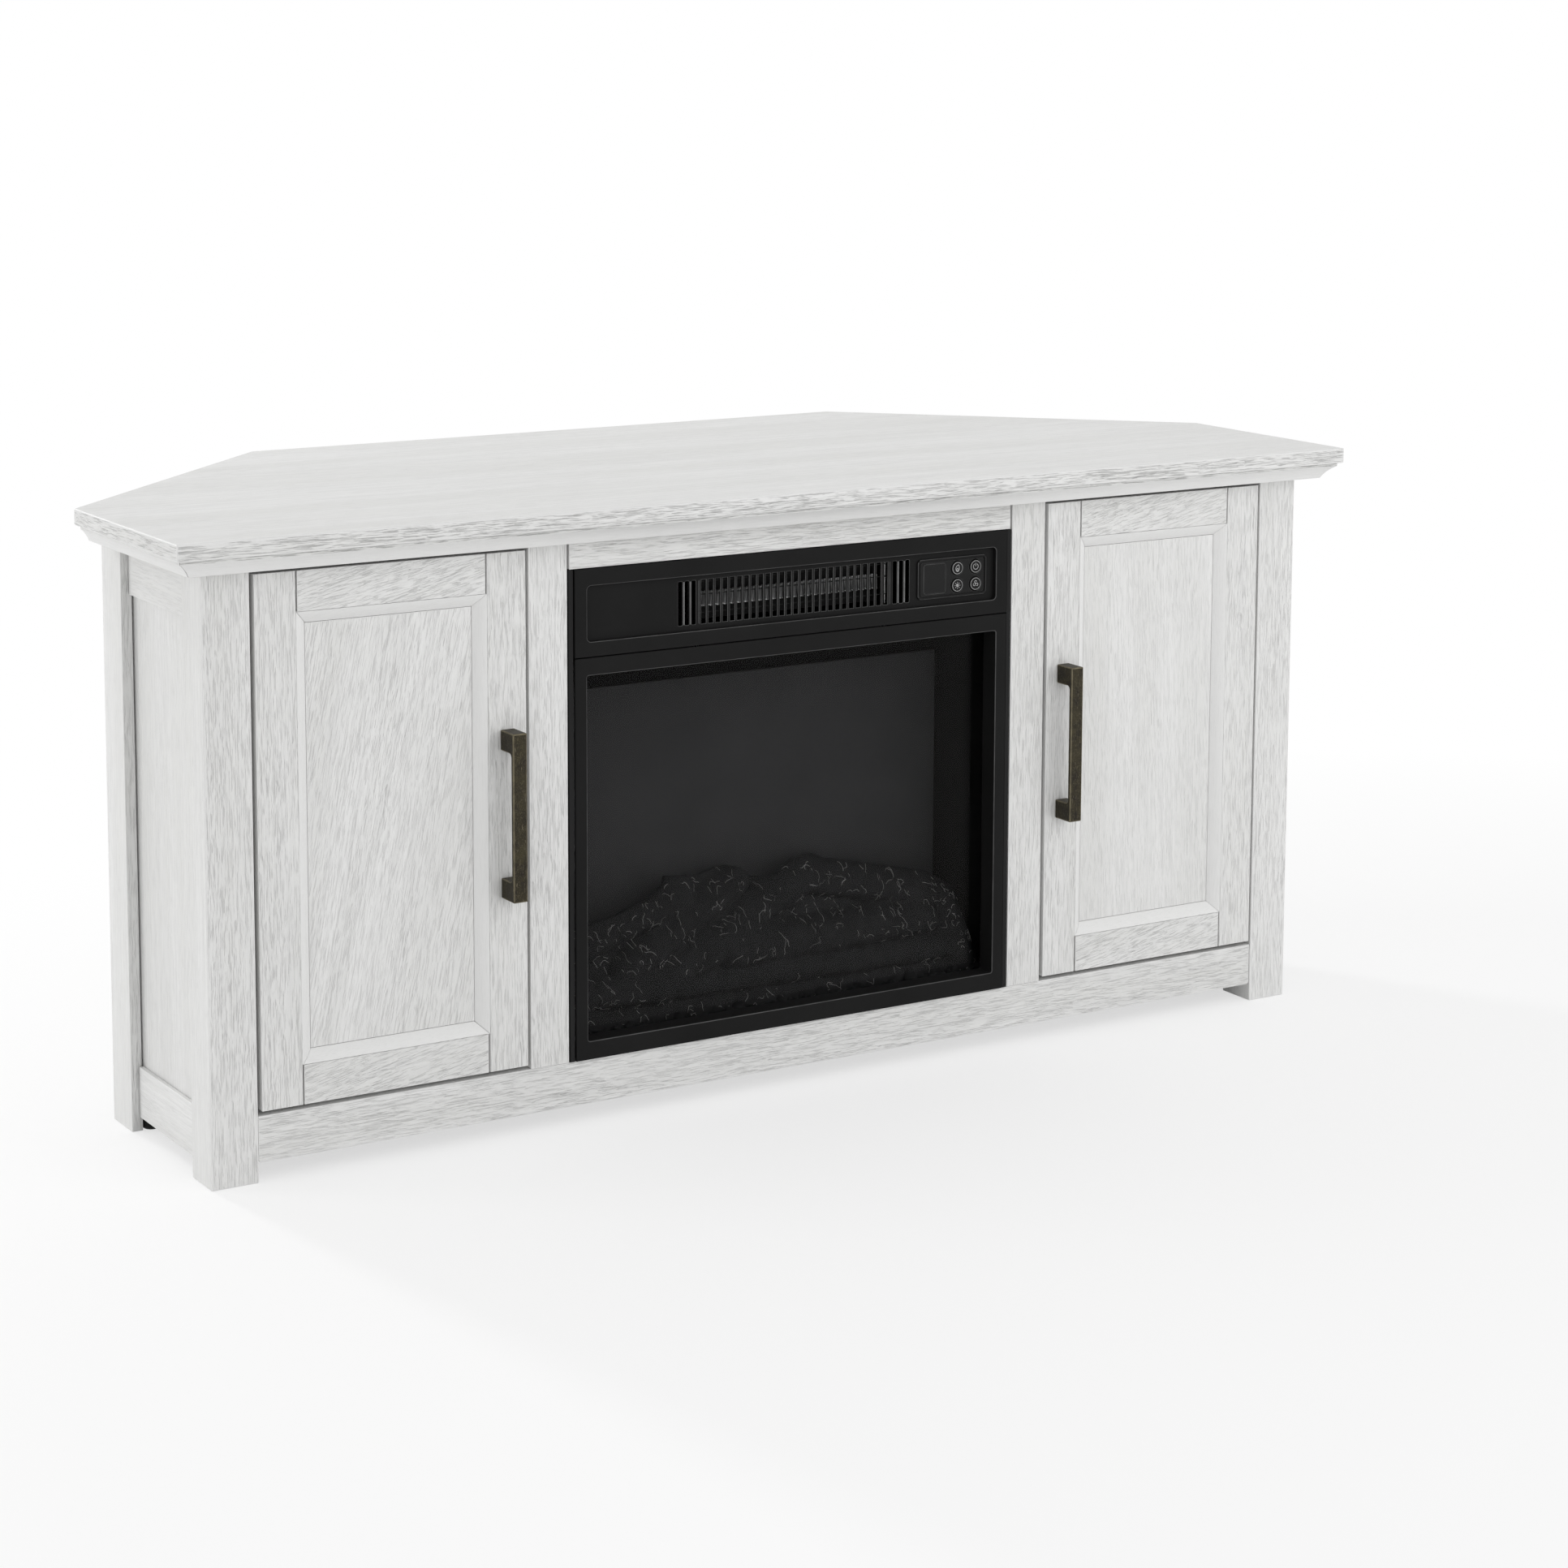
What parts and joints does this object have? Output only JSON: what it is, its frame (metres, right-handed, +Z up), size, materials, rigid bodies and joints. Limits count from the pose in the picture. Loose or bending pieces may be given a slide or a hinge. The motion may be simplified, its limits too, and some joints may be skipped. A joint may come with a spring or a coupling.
{
  "type": "fireplace television stand",
  "caption": "Low whitewashed oak television stand with angled back corners, a panelled door on each side of an electric fireplace insert.",
  "frame": {"origin": "on the floor under the middle of the top's outline", "axes": "+Z up, -Y towards the front with the doors and the fire, +X to the right as the front is seen"},
  "size_m": [1.2192, 0.5102, 0.5569],
  "materials": {
    "whitewashed_oak": "matt laminate with a fine limed grain",
    "dark_bronze": "antique bronze, rubbed at the edges",
    "bare_steel": "plain",
    "black_plastic": "satin",
    "black_metal": "matt powder coat",
    "clear_glass": "polished, lightly smoked",
    "moulded_embers": "bark texture with pale flecks",
    "screen_plastic": "satin grey"
  },
  "bodies": {
    "cabinet": {"top_panel": "whitewashed_oak", "front_moulding": "whitewashed_oak", "front_bottom_rail": "whitewashed_oak", "bottom_panel": "whitewashed_oak", "fireplace_filler": "whitewashed_oak", "centre_back_panel": "whitewashed_oak", "left_moulding": "whitewashed_oak", "left_front_leg": "whitewashed_oak", "left_side_leg": "whitewashed_oak", "left_rear_leg": "whitewashed_oak", "left_side_panel": "whitewashed_oak", "left_upper_side_rail": "whitewashed_oak", "left_lower_side_rail": "whitewashed_oak", "left_divider": "whitewashed_oak", "left_partition": "whitewashed_oak", "left_shelf": "whitewashed_oak", "left_angled_back": "whitewashed_oak", "right_moulding": "whitewashed_oak", "right_front_leg": "whitewashed_oak", "right_side_leg": "whitewashed_oak", "right_rear_leg": "whitewashed_oak", "right_side_panel": "whitewashed_oak", "right_upper_side_rail": "whitewashed_oak", "right_lower_side_rail": "whitewashed_oak", "right_divider": "whitewashed_oak", "right_partition": "whitewashed_oak", "right_shelf": "whitewashed_oak", "right_angled_back": "whitewashed_oak", "left_lower_hinge_arm": "bare_steel", "left_upper_hinge_arm": "bare_steel", "right_lower_hinge_arm": "bare_steel", "right_upper_hinge_arm": "bare_steel", "left_glide": "black_plastic", "right_glide": "black_plastic", "fireplace_chassis": "black_metal", "header_plate": "black_metal", "glass_frame": "black_metal", "front_glass": "clear_glass", "control_panel": "black_plastic", "log_and_ember_bed": "moulded_embers", "flame_screen": "screen_plastic", "heating_element": "bare_steel"},
    "left_door": {"left_door_outer_stile": "whitewashed_oak", "left_door_inner_stile": "whitewashed_oak", "left_door_top_rail": "whitewashed_oak", "left_door_bottom_rail": "whitewashed_oak", "left_door_panel": "whitewashed_oak", "left_door_handle": "dark_bronze"},
    "right_door": {"right_door_outer_stile": "whitewashed_oak", "right_door_inner_stile": "whitewashed_oak", "right_door_top_rail": "whitewashed_oak", "right_door_bottom_rail": "whitewashed_oak", "right_door_panel": "whitewashed_oak", "right_door_handle": "dark_bronze"},
    "flame_key": {"flame_button": "black_plastic"},
    "power_key": {"power_button": "black_plastic"},
    "light_key": {"light_button": "black_plastic"},
    "heat_key": {"heat_button": "black_plastic"},
    "blower": {"blower_wheel": "bare_steel"},
    "spindle": {"flame_spindle": "bare_steel"}
  },
  "joints": [
    {"name": "left_door_hinge", "type": "hinge", "parent": "cabinet", "child": "left_door", "pos_m": [-0.5296, -0.2219, 0.29185], "axis": [0, 0, -1], "range_deg": [0, 105]},
    {"name": "right_door_hinge", "type": "hinge", "parent": "cabinet", "child": "right_door", "pos_m": [0.5296, -0.2219, 0.29185], "axis": [0, 0, 1], "range_deg": [0, 105]},
    {"name": "flame_press", "type": "slide", "parent": "cabinet", "child": "flame_key", "axis": [0, 1, 0], "range_m": [0, 0.001], "stiffness_N_per_m": 500, "springref_m": -0.001},
    {"name": "power_press", "type": "slide", "parent": "cabinet", "child": "power_key", "axis": [0, 1, 0], "range_m": [0, 0.001], "stiffness_N_per_m": 500, "springref_m": -0.001},
    {"name": "light_press", "type": "slide", "parent": "cabinet", "child": "light_key", "axis": [0, 1, 0], "range_m": [0, 0.001], "stiffness_N_per_m": 500, "springref_m": -0.001},
    {"name": "heat_press", "type": "slide", "parent": "cabinet", "child": "heat_key", "axis": [0, 1, 0], "range_m": [0, 0.001], "stiffness_N_per_m": 500, "springref_m": -0.001},
    {"name": "blower_spin", "type": "hinge", "parent": "cabinet", "child": "blower", "pos_m": [0, -0.1489, 0.4602], "axis": [1, 0, 0], "continuous": true},
    {"name": "spindle_spin", "type": "hinge", "parent": "cabinet", "child": "spindle", "pos_m": [0, -0.0999, 0.097], "axis": [1, 0, 0], "continuous": true}
  ]
}
